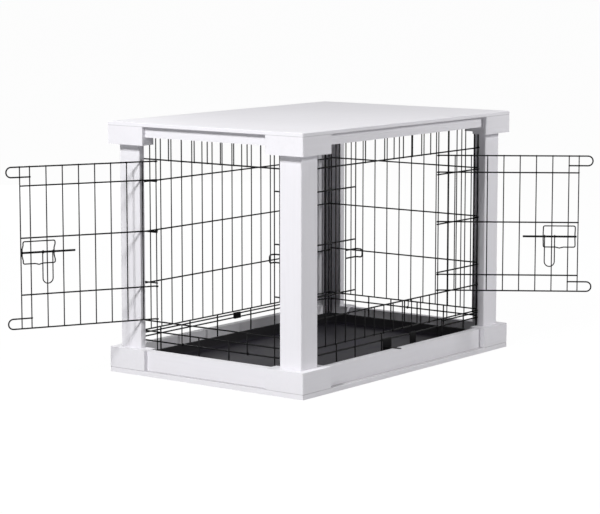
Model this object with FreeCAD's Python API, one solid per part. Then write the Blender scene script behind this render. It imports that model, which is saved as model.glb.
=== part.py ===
import FreeCAD, Part
import math
import os

from FreeCAD import Vector

# A wooden end table built round a black wire dog crate.  Millimetres, +Z up.
# The origin is the middle of the table's underside; the long side with a door
# faces -Y and the short end with a door faces -X.

# --- crate and the room round it ---------------------------------------------
crate_length = 768.0
crate_width = 479.0
end_room = 52.0
front_room = 54.5

# --- table -----------------------------------------------------------------
table_height = 610.0
top_thickness = 9.0
base_thickness = 12.0
board_edge_bevel = 1.2

post_leg = 62.0
post_thickness = 18.0
post_recess = 20.0
post_edge_bevel = 1.2
post_pocket_depth = 30.0

block_leg = 109.0
block_thickness = 42.0
top_block_height = 45.0
bottom_block_height = 50.0
block_edge_bevel = 1.2

rail_thickness = 18.0
rail_recess = 12.0
top_rail_height = 26.0
bottom_rail_height = 48.0
tenon_thickness = 8.0
tenon_length = 14.0
tenon_shoulder = 5.0
wood_fit = 0.2

# --- wire crate ------------------------------------------------------------
crate_top = 582.0
crate_seat_gap = 0.2
frame_wire_d = 3.6
frame_wire_side_count = 8
fill_wire_d = 2.8
fill_wire_side_count = 6
weld_sink = 0.04
bend_step_count = 4
wire_pitch = 39.5
corner_step = 7.0
curl_wall = 2.0

front_head_level = 516.5
front_strip_levels = (462.0, 337.5, 215.9)
front_guard_levels = (96.0, 78.0)
front_sill_level = 163.5
front_margin = 28.5
front_latch_jamb_count = 5
front_hinge_jamb_count = 5
front_hinge_shift = -3.5
front_feet = (150.4, 335.0, 597.0, 696.4)
front_bar_level = 90.5
front_bar_length = 165.0

end_head_level = 519.0
end_strip_levels = (466.2, 343.2, 220.0)
end_guard_levels = (100.0, 77.0)
end_sill_level = 125.5
end_margin = 27.5
end_pitch = 39.95
end_latch_jamb_count = 1
end_hinge_jamb_count = 2
end_feet = (204.0, 296.0)
end_hangers = (149.0, 349.0)

back_strip_levels = (462.0, 341.0, 215.0)
back_guard_levels = (100.0, 84.0)
back_bar_level = 93.4
back_margin = 37.5
back_feet = (73.5, 185.0, 293.0, 429.0, 575.0, 683.0)
back_clip_start = 356.0
back_clip_width = 24.0

far_strip_levels = (465.0, 341.0, 221.0)
far_guard_levels = (100.0, 83.0)
far_margin = 17.0
far_pitch = 38.9
far_feet = (108.0, 191.0, 231.0, 275.0, 347.0)
far_hangers = (219.0,)

roof_bar_count = 4
floor_bar_count = 4
flat_panel_gap = 0.5

# --- doors -----------------------------------------------------------------
front_door_open = 123.8
end_door_open = 117.6
front_door_levels = (510.5, 468.7, 344.6, 211.7, 171.8)
end_door_levels = (515.0, 470.3, 347.4, 212.6, 132.6)
front_door_first = 41.0
end_door_first = 32.0
door_pitch = 40.3
door_last_step = 24.5
door_latch_gap = 3.0
door_closed_gap = 0.8
hoop_reach = 34.0
hoop_height = 24.0
hoop_return = 26.0
eye_wall = 2.4
hinge_clearance = 0.08

# --- bolts -----------------------------------------------------------------
front_bolt_level = 308.0
end_bolt_level = 311.0
bolt_tip_back = 2.5
bolt_d = 5.0
bolt_length = 134.0
bolt_tip_round = 1.0
bolt_gap = 0.3
handle_gap = 0.7
guide_wire_d = 3.0
guide_inner_back = 85.5
guide_outer_back = 6.5
guide_height = 53.0
guide_centre_above = 0.5
guide_neck = 9.0
guide_notch_from_inner = 40.0
guide_notch_width = 10.0
guide_notch_depth = 2.5
handle_wire_d = 2.8
handle_inner_back = 82.0
handle_width = 25.0
handle_drop = 76.0
handle_eye_wall = 1.6
handle_clearance = 0.08
front_keeper_levels = (296.5, 315.5)
end_keeper_levels = (302.0, 321.0)
keeper_stand_out = 21.0
keeper_leg_past = 3.0
keeper_from_jamb = -2.0
keeper_bend = 6.0

# --- tray and small steel parts ---------------------------------------------
tray_side_gap = 4.0
tray_rim_level = 46.0
tray_sheet = 1.4
tray_lift = 0.2
tray_corner = 26.0
tray_draft = 5.0
tray_lip = 4.0
tray_floor_step = 26.0
tray_step_height = 0.6
tray_step_draft = 3.0
plate_thickness = 1.2
clip_start = 458.0
clip_width = 26.0
clip_bottom = 50.0
latch_start = 342.0
latch_width = 36.0
latch_bottom = 50.0
latch_clearance = 0.08
latch_tab_start = 347.0
latch_tab_width = 10.0
latch_tab_reach = 46.0
latch_tab_gap = 0.3

os.makedirs("parts", exist_ok=True)

half_length = crate_length / 2 + end_room
half_depth = crate_width / 2 + front_room
top_underside = table_height - top_thickness
top_block_underside = top_underside - top_block_height
bottom_block_top = base_thickness + bottom_block_height
frame_r = frame_wire_d / 2
fill_r = fill_wire_d / 2
cross_step = fill_r + frame_r - weld_sink
crate_floor = base_thickness + crate_seat_gap + frame_r
up = Vector(0, 0, 1)


def save(name, shape):
    """Write one sub-part to its own file."""
    shape.exportStep("parts/" + name + ".step")


def box(low, high):
    """Return the block between two opposite corners."""
    size = high - low
    return Part.makeBox(size.x, size.y, size.z, low)


def drilled(shape, cutters):
    """Return shape with every cutter taken out of it."""
    for cutter in cutters:
        shape = shape.cut(cutter)
    return shape


def rounded(shape, radius, wanted):
    """Fillet the edges for which wanted(edge) is true."""
    edges = [edge for edge in shape.Edges if wanted(edge)]
    return shape.makeFillet(radius, edges)


def bevelled(shape, size, wanted):
    """Take the sharpness off the edges for which wanted(edge) is true."""
    edges = [edge for edge in shape.Edges if wanted(edge)]
    return shape.makeChamfer(size, edges)


def is_upright(edge):
    """True for a straight edge parallel to Z."""
    ends = [vertex.Point for vertex in edge.Vertexes]
    return len(ends) == 2 and abs((ends[1] - ends[0]).normalize().z) > 0.99


def at_level(level):
    """Return a test that is true for an edge lying flat at that height."""
    def test(edge):
        return all(abs(vertex.Z - level) < 0.01 for vertex in edge.Vertexes)
    return test


# --- the wooden table --------------------------------------------------------
corner_signs = {
    "front_left": (-1, -1),
    "front_right": (1, -1),
    "back_left": (-1, 1),
    "back_right": (1, 1),
}


def to_corner(shape, signs):
    """Move a shape made for the front left corner to another corner."""
    if signs[0] > 0:
        shape = shape.mirror(Vector(0, 0, 0), Vector(1, 0, 0))
    if signs[1] > 0:
        shape = shape.mirror(Vector(0, 0, 0), Vector(0, 1, 0))
    return shape


def l_section(start, leg, thickness, low, high):
    """Return an upright L whose outer corner stands start in from the table's edges."""
    x = start - half_length
    y = start - half_depth
    outline = [
        Vector(x, y, low),
        Vector(x + leg, y, low),
        Vector(x + leg, y + thickness, low),
        Vector(x + thickness, y + thickness, low),
        Vector(x + thickness, y + leg, low),
        Vector(x, y + leg, low),
    ]
    face = Part.Face(Part.makePolygon(outline + outline[:1]))
    return face.extrude(up * (high - low))


def board(low, high):
    """Return a flat board of the full plan size, its edges eased."""
    body = box(Vector(-half_length, -half_depth, low), Vector(half_length, half_depth, high))
    return bevelled(body, board_edge_bevel, is_upright)


def top_panel():
    """The table top, its upper edge eased all round."""
    body = board(top_underside, table_height)
    return bevelled(body, board_edge_bevel, at_level(table_height))


def base_panel():
    """The base board that the crate stands on."""
    return bevelled(board(0.0, base_thickness), board_edge_bevel, at_level(base_thickness))


def post():
    """One angle post, housed in a pocket of the block at each end."""
    low = bottom_block_top - post_pocket_depth
    high = top_block_underside + post_pocket_depth
    body = l_section(post_recess, post_leg, post_thickness, low, high)
    return bevelled(body, post_edge_bevel, is_upright)


def post_pocket(low, high):
    """Return the pocket for a post's end."""
    body = l_section(post_recess - wood_fit, post_leg + 2 * wood_fit,
                     post_thickness + 2 * wood_fit, low, high)
    return bevelled(body, post_edge_bevel, is_upright)


def rail_span(low, height):
    """Return where a rail's tenon starts and ends in height."""
    return low + tenon_shoulder, low + height - tenon_shoulder


def mortises(low, height):
    """Return the two mortises in the ends of a corner block."""
    z0, z1 = rail_span(low, height)
    near = rail_recess + (rail_thickness - tenon_thickness) / 2 - wood_fit
    far = near + tenon_thickness + 2 * wood_fit
    end = block_leg - tenon_length - wood_fit
    along_x = box(Vector(end - half_length, near - half_depth, z0 - wood_fit),
                  Vector(block_leg - half_length, far - half_depth, z1 + wood_fit))
    along_y = box(Vector(near - half_length, end - half_depth, z0 - wood_fit),
                  Vector(far - half_length, block_leg - half_depth, z1 + wood_fit))
    return [along_x, along_y]


def corner_block(low, high):
    """Return a corner block with eased upright edges."""
    body = l_section(0.0, block_leg, block_thickness, low, high)
    return bevelled(body, block_edge_bevel, is_upright)


def top_block():
    """A corner block under the table top."""
    body = corner_block(top_block_underside, top_underside)
    cutters = [post_pocket(top_block_underside, top_block_underside + post_pocket_depth + wood_fit)]
    cutters += mortises(top_underside - top_rail_height, top_rail_height)
    return drilled(body, cutters)


def bottom_block():
    """A corner block on the base board."""
    body = corner_block(base_thickness, bottom_block_top)
    cutters = [post_pocket(bottom_block_top - post_pocket_depth - wood_fit, bottom_block_top)]
    cutters += mortises(base_thickness, bottom_rail_height)
    return drilled(body, cutters)


def rail(axis, low, height):
    """Return a front (axis X) or left (axis Y) rail with a tenon at each end."""
    z0, z1 = rail_span(low, height)
    cheek = (rail_thickness - tenon_thickness) / 2
    half_run = (half_length if axis == "x" else half_depth) - block_leg
    side = (half_depth if axis == "x" else half_length) - rail_recess
    body = box(Vector(-half_run, -side, low), Vector(half_run, rail_thickness - side, low + height))
    tongue = box(Vector(-half_run - tenon_length, cheek - side, z0),
                 Vector(half_run + tenon_length, cheek + tenon_thickness - side, z1))
    body = body.fuse(tongue).removeSplitter()
    if axis == "y":
        body.rotate(Vector(0, 0, 0), up, -90)
    return body


def make_table():
    """Write every wooden part."""
    save("top_panel", top_panel())
    save("base_panel", base_panel())
    for name, signs in corner_signs.items():
        save("post_" + name, to_corner(post(), signs))
        save("top_block_" + name, to_corner(top_block(), signs))
        save("bottom_block_" + name, to_corner(bottom_block(), signs))
    rows = {
        "top_rail": (top_underside - top_rail_height, top_rail_height),
        "bottom_rail": (base_thickness, bottom_rail_height),
    }
    for name, (low, height) in rows.items():
        front = rail("x", low, height)
        left = rail("y", low, height)
        save(name + "_front", front)
        save(name + "_back", front.mirror(Vector(0, 0, 0), Vector(0, 1, 0)))
        save(name + "_left", left)
        save(name + "_right", left.mirror(Vector(0, 0, 0), Vector(1, 0, 0)))


# --- wire work ---------------------------------------------------------------
class Side:
    """One side of the crate: u runs along it, n points outward, z is up."""

    def __init__(self, start, along, out):
        self.start = start
        self.along = along
        self.out = out

    def at(self, u, n, z):
        """Return the point at those distances."""
        return self.start + self.along * u + self.out * n + up * z


def section(centre, direction, facing, diameter, flats):
    """Return the corners of a wire's section, with one of its flats towards facing."""
    across = direction.cross(facing)
    reach = diameter / 2 / math.cos(math.pi / flats)
    turns = [math.pi * (2 * k + 1) / flats for k in range(flats)]
    return [centre + facing * (reach * math.cos(turn)) + across * (reach * math.sin(turn))
            for turn in turns]


def polygon_face(corners):
    """Return the flat face between the corners."""
    return Part.Face(Part.makePolygon(corners + corners[:1]))


def wire(start, end, diameter, facing, flats):
    """Return a straight wire with flat sides."""
    run = end - start
    ring = section(start, Vector(run).normalize(), facing, diameter, flats)
    return polygon_face(ring).extrude(run)


def rod(start, end, diameter):
    """Return a straight round wire, on which something turns."""
    run = end - start
    return Part.makeCylinder(diameter / 2, run.Length, start, run)


def slid(ring, direction, point, normal):
    """Move a section along its wire on to the plane through a point."""
    return [corner + direction * ((point - corner).dot(normal) / direction.dot(normal))
            for corner in ring]


def bent_wire(points, diameter, facing, closed=False):
    """Return one wire with flat sides through the points, mitred at every corner."""
    targets = points[1:] + points[:1] if closed else points[1:]
    runs = [(target - point).normalize() for point, target in zip(points, targets)]
    ring = section(points[0], runs[0], facing, diameter, frame_wire_side_count)
    if closed:
        ring = slid(ring, runs[0], points[0], runs[-1] + runs[0])
    rings = [ring]
    for k, point in enumerate(points[1:]):
        ahead = runs[min(k + 1, len(runs) - 1)]
        rings.append(slid(rings[-1], runs[k], point, runs[k] + ahead))
    faces = []
    for low, high in zip(rings, rings[1:] + rings[:1] if closed else rings[1:]):
        for k in range(frame_wire_side_count):
            faces.append(polygon_face([low[k - 1], low[k], high[k], high[k - 1]]))
    if not closed:
        faces += [polygon_face(rings[0]), polygon_face(rings[-1])]
    shell = Part.makeShell(faces)
    shell.sewShape()
    return Part.makeSolid(shell)


def with_bends(points, bend):
    """Return the points with each corner replaced by a bend of short straight steps."""
    path = points[:1]
    for before, corner, after in zip(points, points[1:], points[2:]):
        back = (before - corner).normalize()
        ahead = (after - corner).normalize()
        half = back.getAngle(ahead) / 2
        inward = (back + ahead).normalize()
        centre = corner + inward * (bend / math.sin(half))
        middle = math.pi / 2 - half
        across = (ahead - back).normalize()
        for k in range(bend_step_count + 1):
            turn = middle * (2 * k / bend_step_count - 1)
            point = centre + across * (bend * math.sin(turn)) - inward * (bend * math.cos(turn))
            if (point - path[-1]).Length > bend / bend_step_count / 4:
                path.append(point)
    return path + points[-1:]


def eye(centre, axis, facing, bore, wall, width):
    """Return the curled end of a wire: a flat-sided ring with a round bore."""
    start = centre - axis * (width / 2)
    ring = wire(start, start + axis * width, 2 * (bore + wall), facing, frame_wire_side_count)
    return ring.cut(Part.makeCylinder(bore, width, start, axis))


front_side = Side(Vector(-crate_length / 2, -crate_width / 2, 0), Vector(1, 0, 0), Vector(0, -1, 0))
end_side = Side(Vector(-crate_length / 2, -crate_width / 2, 0), Vector(0, 1, 0), Vector(-1, 0, 0))
back_side = Side(Vector(-crate_length / 2, crate_width / 2, 0), Vector(1, 0, 0), Vector(0, 1, 0))
far_side = Side(Vector(crate_length / 2, -crate_width / 2, 0), Vector(0, 1, 0), Vector(1, 0, 0))


def level_wire(side, u0, u1, level):
    """Return a horizontal wire, welded on the inner side of the uprights."""
    return wire(side.at(u0, -cross_step, level), side.at(u1, -cross_step, level), frame_wire_d,
                side.out, frame_wire_side_count)


def fill_wire(side, u, z0, z1):
    """Return a thin upright wire."""
    return wire(side.at(u, 0, z0), side.at(u, 0, z1), fill_wire_d, side.out, fill_wire_side_count)


def stout_wire(side, u, z0, z1):
    """Return a thick upright wire, as at the corners and the feet."""
    layer = frame_r - fill_r
    return wire(side.at(u, layer, z0), side.at(u, layer, z1), frame_wire_d, side.out,
                frame_wire_side_count)


def fill_places(margin, last, pitch=wire_pitch):
    """Return where the fill wires stand along a side, up to its last corner wire."""
    count = int((last - frame_wire_d - margin) / pitch) + 1
    return [margin + pitch * k for k in range(count)]


def common_wires(side, first, last, guard_levels, feet):
    """Return what every side has: corner wires, full-length bars and feet."""
    high = crate_top + frame_r
    wires = [stout_wire(side, u, crate_floor, high) for u in (first, last)]
    wires += [stout_wire(side, u, crate_floor, guard_levels[0]) for u in feet if u < last]
    wires += [level_wire(side, first, last, level) for level in (crate_top, crate_floor)]
    return wires + [level_wire(side, first, last, level) for level in guard_levels]


def plain_side(side, first, last, places, strip_levels, guard_levels, feet):
    """Return the wires of a side with no doorway."""
    wires = common_wires(side, first, last, guard_levels, feet)
    wires += [level_wire(side, first, last, level) for level in strip_levels]
    low = guard_levels[0] - frame_r
    wires += [fill_wire(side, u, low, crate_top + frame_r) for u in places]
    return wires


def door_side(side, first, last, places, head, strip_levels, sill, guard_levels, feet, jambs):
    """Return the wires of a side with a doorway between two of its fill wires."""
    wires = common_wires(side, first, last, guard_levels, feet)
    wires += [level_wire(side, first, last, level) for level in (head, sill)]
    for level in strip_levels:
        wires.append(level_wire(side, first, places[jambs[0]], level))
        wires.append(level_wire(side, places[jambs[1]], last, level))
    high = crate_top + frame_r
    for k, u in enumerate(places):
        if k == jambs[1]:
            wires.append(rod(side.at(u, 0, crate_floor), side.at(u, 0, high), fill_wire_d))
        elif k == jambs[0]:
            wires.append(fill_wire(side, u, crate_floor, high))
        elif jambs[0] < k < jambs[1]:
            wires.append(fill_wire(side, u, head - frame_r, high))
        else:
            wires.append(fill_wire(side, u, guard_levels[0] - frame_r, high))
    return wires


def hanger_wire(side, u, low, high):
    """Return a short upright whose foot is curled round the bar at the low level."""
    start = side.at(u - fill_r, -cross_step, low)
    curl = wire(start, start + side.along * fill_wire_d, 2 * (frame_r + curl_wall), side.out,
                frame_wire_side_count)
    bar = level_wire(side, u - fill_wire_d, u + fill_wire_d, low)
    return fill_wire(side, u, low, high + frame_r).fuse(curl).cut(bar)


end_last = crate_width - corner_step
front_places = fill_places(front_margin, crate_length)
front_jambs = (front_latch_jamb_count, len(front_places) - front_hinge_jamb_count)
front_places[front_jambs[1]] += front_hinge_shift
end_places = fill_places(end_margin, end_last, end_pitch)
end_jambs = (end_latch_jamb_count, len(end_places) - end_hinge_jamb_count)


def front_panel():
    """The long side with a doorway, and the doubled bar over its tray slot."""
    wires = door_side(front_side, 0.0, crate_length, front_places, front_head_level,
                      front_strip_levels, front_sill_level, front_guard_levels[:1], front_feet,
                      front_jambs)
    wires.append(rod(front_side.at(0, -cross_step, front_guard_levels[1]),
                     front_side.at(crate_length, -cross_step, front_guard_levels[1]), frame_wire_d))
    guard = front_guard_levels[0] - frame_r
    for u in front_places[front_jambs[0] + 1:front_jambs[1]]:
        wires.append(fill_wire(front_side, u, guard, front_sill_level + frame_r))
    wires.append(level_wire(front_side, crate_length - front_bar_length, crate_length,
                            front_bar_level))
    return Part.makeCompound(wires)


def end_panel():
    """The short end with a doorway."""
    wires = door_side(end_side, corner_step, end_last, end_places, end_head_level,
                      end_strip_levels, end_sill_level, end_guard_levels, end_feet, end_jambs)
    wires += [hanger_wire(end_side, u, end_guard_levels[1], end_sill_level) for u in end_hangers]
    return Part.makeCompound(wires)


def back_panel():
    """The closed long side, with a doubled bar along its foot."""
    places = fill_places(back_margin, crate_length)
    wires = plain_side(back_side, 0.0, crate_length, places, back_strip_levels,
                       back_guard_levels, back_feet)
    wires.append(level_wire(back_side, 0.0, crate_length, back_bar_level))
    return Part.makeCompound(wires)


def far_panel():
    """The closed short end."""
    places = fill_places(far_margin, end_last, far_pitch)
    wires = plain_side(far_side, corner_step, end_last, places, far_strip_levels,
                       far_guard_levels, far_feet)
    wires += [hanger_wire(far_side, u, far_guard_levels[1], far_guard_levels[0])
              for u in far_hangers]
    return Part.makeCompound(wires)


def flat_panel(level, inset, bar_count, bars_above):
    """Return a lying grid: long bars with cross wires above or below them."""
    length = crate_length - 2 * inset
    width = crate_width - 2 * inset
    step = cross_step if bars_above else -cross_step
    wires = []
    for k in range(bar_count):
        y = -width / 2 + width * k / (bar_count - 1)
        wires.append(wire(Vector(-length / 2, y, level + step), Vector(length / 2, y, level + step),
                          frame_wire_d, up, frame_wire_side_count))
    count = int(length // wire_pitch)
    first = -(count * wire_pitch) / 2
    for k in range(count + 1):
        x = first + wire_pitch * k
        wires.append(wire(Vector(x, -width / 2 - frame_r, level),
                          Vector(x, width / 2 + frame_r, level), fill_wire_d, up,
                          fill_wire_side_count))
    return Part.makeCompound(wires)


flat_inset = cross_step + frame_r + flat_panel_gap + frame_r
floor_grid_level = crate_floor - frame_r + frame_wire_d + fill_r - weld_sink


def roof_panel():
    """The crate's roof, under the table top."""
    return flat_panel(crate_top, flat_inset, roof_bar_count, True)


def floor_panel():
    """The crate's floor grid, which the tray lies on."""
    return flat_panel(floor_grid_level, flat_inset, floor_bar_count, False)


# --- doors ---------------------------------------------------------------------
door_layer = fill_r + door_closed_gap + frame_r
door_fill_layer = door_layer + cross_step
eye_bore = fill_r + hinge_clearance


class Doorway:
    """A doorway of one side: d runs from the hinge jamb along the closed door."""

    def __init__(self, side, places, jambs, turn, levels, first, bolt_level, keeper_levels):
        self.side = side
        self.latch_u = places[jambs[0]]
        self.hinge_u = places[jambs[1]]
        self.turn = turn
        self.levels = levels
        span = self.hinge_u - self.latch_u - door_latch_gap - door_last_step - first
        self.fills = [first + door_pitch * k for k in range(int(span / door_pitch) + 1)]
        self.fills.append(self.fills[-1] + door_last_step)
        self.bolt_level = bolt_level
        self.keeper_levels = keeper_levels

    def at(self, d, n, z):
        """Return a point of the closed door."""
        return self.side.at(self.hinge_u - d, n, z)

    def back(self, distance):
        """Return the place that lies so far short of the last fill wire."""
        return self.fills[-1] - distance

    def opened(self, shape):
        """Return a shape of the closed door turned to the open door's place."""
        turned = shape.copy()
        turned.rotate(self.at(0, 0, 0), up, self.turn)
        return turned


front_doorway = Doorway(front_side, front_places, front_jambs, front_door_open,
                        front_door_levels, front_door_first, front_bolt_level,
                        front_keeper_levels)
end_doorway = Doorway(end_side, end_places, end_jambs, -end_door_open,
                      end_door_levels, end_door_first, end_bolt_level, end_keeper_levels)


def hinge_eye(doorway, level):
    """Return the curled end of a door wire round the hinge jamb."""
    return eye(doorway.at(0, 0, level), up, doorway.side.out, eye_bore, eye_wall, frame_wire_d)


def hoop_wire(doorway, level, back_level):
    """Return an outer door wire: eye, long run, hoop past the last upright and back."""
    reach = doorway.back(-hoop_reach)
    points = [
        doorway.at(0, door_layer, level),
        doorway.at(reach, door_layer, level),
        doorway.at(reach, door_layer, back_level),
        doorway.at(doorway.back(hoop_return), door_layer, back_level),
    ]
    path = with_bends(points, hoop_height / 2)
    return bent_wire(path, frame_wire_d, doorway.side.out).fuse(hinge_eye(doorway, level))


def mid_wire(doorway, level):
    """Return an inner door wire with its eye."""
    run = wire(doorway.at(0, door_layer, level), doorway.at(doorway.back(0), door_layer, level),
               frame_wire_d, doorway.side.out, frame_wire_side_count)
    return run.fuse(hinge_eye(doorway, level))


def door(doorway):
    """Return a welded door, open as it stands at rest."""
    top = doorway.levels[0]
    bottom = doorway.levels[-1]
    wires = [hoop_wire(doorway, top, top - hoop_height),
             hoop_wire(doorway, bottom, bottom + hoop_height)]
    wires += [mid_wire(doorway, level) for level in doorway.levels[1:-1]]
    for d in doorway.fills:
        wires.append(wire(doorway.at(d, door_fill_layer, bottom - frame_r),
                          doorway.at(d, door_fill_layer, top + frame_r), fill_wire_d,
                          doorway.side.out, fill_wire_side_count))
    return Part.makeCompound([doorway.opened(shape) for shape in wires])


# --- bolts ---------------------------------------------------------------------
bolt_r = bolt_d / 2
guide_r = guide_wire_d / 2
handle_bore = bolt_r + handle_clearance
bolt_layer = door_fill_layer + fill_r + handle_gap + handle_bore + handle_eye_wall
guide_layer = door_fill_layer + fill_r + guide_r - weld_sink
guide_neck_layer = bolt_layer + bolt_r + bolt_gap + guide_r
handle_layer = bolt_layer + handle_bore + handle_wire_d / 2


def bolt(doorway):
    """Return the sliding rod, drawn back as on the open door."""
    tip = doorway.at(doorway.back(bolt_tip_back), bolt_layer, doorway.bolt_level)
    tail = doorway.at(doorway.back(bolt_tip_back + bolt_length), bolt_layer, doorway.bolt_level)
    body = rod(tail, tip, bolt_d)
    rims = [edge for edge in body.Edges if edge.BoundBox.Center.isEqual(tip, bolt_tip_round)]
    return doorway.opened(body.makeChamfer(bolt_tip_round, rims))


def guide_side(doorway, d, high, low):
    """Return the points of one upright of the guide, which steps out round the rod."""
    level = doorway.bolt_level
    steps = [
        (guide_layer, high),
        (guide_layer, level + 2 * guide_neck),
        (guide_neck_layer, level + guide_neck),
        (guide_neck_layer, level - guide_neck),
        (guide_layer, level - 2 * guide_neck),
        (guide_layer, low),
    ]
    return [doorway.at(d, n, z) for n, z in steps]


def guide(doorway):
    """Return the bent wire guide: an oblong frame that steps out over the rod twice."""
    middle = doorway.bolt_level + guide_centre_above
    low = middle - guide_height / 2
    high = middle + guide_height / 2
    inner = doorway.back(guide_inner_back)
    notch = inner + guide_notch_from_inner
    points = guide_side(doorway, doorway.back(guide_outer_back), high, low)
    points += [doorway.at(notch + guide_notch_width, guide_layer, low),
               doorway.at(notch, guide_layer, low - guide_notch_depth),
               doorway.at(notch - guide_notch_width, guide_layer, low)]
    points += guide_side(doorway, inner, high, low)[::-1]
    return doorway.opened(bent_wire(points, guide_wire_d, doorway.side.out, closed=True))


def handle(doorway):
    """Return the hanging finger loop, curled round the rod at both legs."""
    axis = doorway.at(1, 0, 0) - doorway.at(0, 0, 0)
    level = doorway.bolt_level
    inner = doorway.back(handle_inner_back)
    outer = inner + handle_width
    points = [
        doorway.at(inner, handle_layer, level),
        doorway.at(inner, handle_layer, level - handle_drop),
        doorway.at(outer, handle_layer, level - handle_drop),
        doorway.at(outer, handle_layer, level),
    ]
    body = bent_wire(with_bends(points, handle_width / 2), handle_wire_d, doorway.side.out)
    for d in (inner, outer):
        centre = doorway.at(d, bolt_layer, level)
        body = body.fuse(eye(centre, axis, doorway.side.out, handle_bore, handle_eye_wall,
                             handle_wire_d))
    return doorway.opened(body)


def keeper(doorway):
    """Return the loop that stands out beside the latch jamb and takes the bolt."""
    side = doorway.side
    low, high = doorway.keeper_levels
    start = doorway.latch_u - wire_pitch - keeper_leg_past
    turn = doorway.latch_u + keeper_from_jamb
    points = [
        side.at(start, cross_step, high),
        side.at(turn, cross_step, high),
        side.at(turn, keeper_stand_out, high),
        side.at(turn, keeper_stand_out, low),
        side.at(turn, cross_step, low),
        side.at(start, cross_step, low),
    ]
    return bent_wire(with_bends(points, keeper_bend), frame_wire_d, side.out)


# --- tray and small steel parts --------------------------------------------------
def rounded_slab(length, width, radius, low, high, grow):
    """Return a lofted slab with round corners whose top is wider than its foot."""
    sections = []
    for level, extra in ((low, 0.0), (high, grow)):
        x = length / 2 + extra
        y = width / 2 + extra
        body = box(Vector(-x, -y, level), Vector(x, y, level + 1))
        body = rounded(body, radius + extra, is_upright)
        faces = [face for face in body.Faces if at_level(level)(face)]
        sections.append(faces[0].OuterWire)
    return Part.makeLoft(sections, True, True)


def tray():
    """The pressed pan: drafted walls, a turned-out lip and a raised floor field."""
    inset = cross_step + frame_r + tray_side_gap + tray_lip
    length = crate_length - 2 * inset - 2 * tray_draft
    width = crate_width - 2 * inset - 2 * tray_draft
    low = floor_grid_level + fill_r + tray_lift
    body = rounded_slab(length, width, tray_corner, low, tray_rim_level, tray_draft)
    lip_low = tray_rim_level - tray_sheet
    lip = rounded_slab(length + 2 * (tray_draft + tray_lip), width + 2 * (tray_draft + tray_lip),
                       tray_corner + tray_draft + tray_lip, lip_low, tray_rim_level, 0.0)
    hollow = rounded_slab(length - 2 * tray_sheet, width - 2 * tray_sheet, tray_corner - tray_sheet,
                          low + tray_sheet, tray_rim_level + 0.001, tray_draft)
    field = rounded_slab(length - 2 * tray_floor_step, width - 2 * tray_floor_step,
                         tray_corner, low + tray_sheet / 2, low + tray_sheet + tray_step_height,
                         -tray_step_draft)
    return body.fuse(lip).cut(hollow).fuse(field).removeSplitter()


def hanging_plate(start, width, bottom, bore, tab=None):
    """Return a steel plate whose top is rolled round the front's lower guard wire."""
    guard = front_guard_levels[1]
    centre = front_side.at(start, -cross_step, guard)
    roll = bore + plate_thickness
    body = Part.makeCylinder(roll, width, centre, front_side.along)
    body = body.fuse(box(centre + Vector(0, -roll, bottom - guard),
                         centre + Vector(width, plate_thickness - roll, 0)))
    if tab:
        body = body.fuse(tab)
    return body.cut(Part.makeCylinder(bore, width, centre, front_side.along)).removeSplitter()


def tray_clip():
    """The fixed plate clipped on the guard wire in front of the tray."""
    return hanging_plate(clip_start, clip_width, clip_bottom, frame_r)


def back_clip():
    """The flat sleeve that holds the back's doubled bars together."""
    low = back_side.at(back_clip_start, -cross_step - frame_r - plate_thickness,
                       back_guard_levels[1] - frame_r - plate_thickness)
    high = back_side.at(back_clip_start + back_clip_width, frame_r + plate_thickness - cross_step,
                        back_bar_level + frame_r + plate_thickness)
    body = box(low, high)
    for level in (back_guard_levels[1], back_bar_level):
        body = body.cut(level_wire(back_side, 0.0, crate_length, level))
    return body


def tray_latch():
    """The plate that turns on the guard wire; its tab lies over the bottom rail."""
    bore = frame_r + latch_clearance
    sheet = -cross_step + bore
    low = base_thickness + bottom_rail_height + latch_tab_gap
    tab = box(front_side.at(latch_tab_start, latch_tab_reach, low),
              front_side.at(latch_tab_start + latch_tab_width, sheet, low + plate_thickness))
    outer_y = tab.BoundBox.YMin
    tab = rounded(tab, latch_tab_width / 2 - latch_tab_gap,
                  lambda edge: is_upright(edge) and edge.Vertexes[0].Y < outer_y + plate_thickness)
    return hanging_plate(latch_start, latch_width, latch_bottom, bore, tab)


def make_crate():
    """Write every part of the wire crate."""
    save("front_wire_panel", front_panel())
    save("end_wire_panel", end_panel())
    save("back_wire_panel", back_panel())
    save("far_end_wire_panel", far_panel())
    save("roof_wire_panel", roof_panel())
    save("floor_wire_grid", floor_panel())
    for name, doorway in (("front", front_doorway), ("end", end_doorway)):
        save(name + "_door", door(doorway))
        save(name + "_bolt", bolt(doorway))
        save(name + "_bolt_guide", guide(doorway))
        save(name + "_bolt_handle", handle(doorway))
        save(name + "_bolt_keeper", keeper(doorway))
    save("tray", tray())
    save("tray_clip", tray_clip())
    save("tray_latch", tray_latch())
    save("back_clip", back_clip())


make_table()
make_crate()
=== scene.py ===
"""Dresses the dog crate end table: painted boards, coated wire work and a moulded floor pan."""
import logging
import math
from dataclasses import dataclass, field
from enum import Enum
from typing import Any, Iterable, Optional, Union

import bmesh
import bpy
from mathutils import Matrix, Vector


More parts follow.
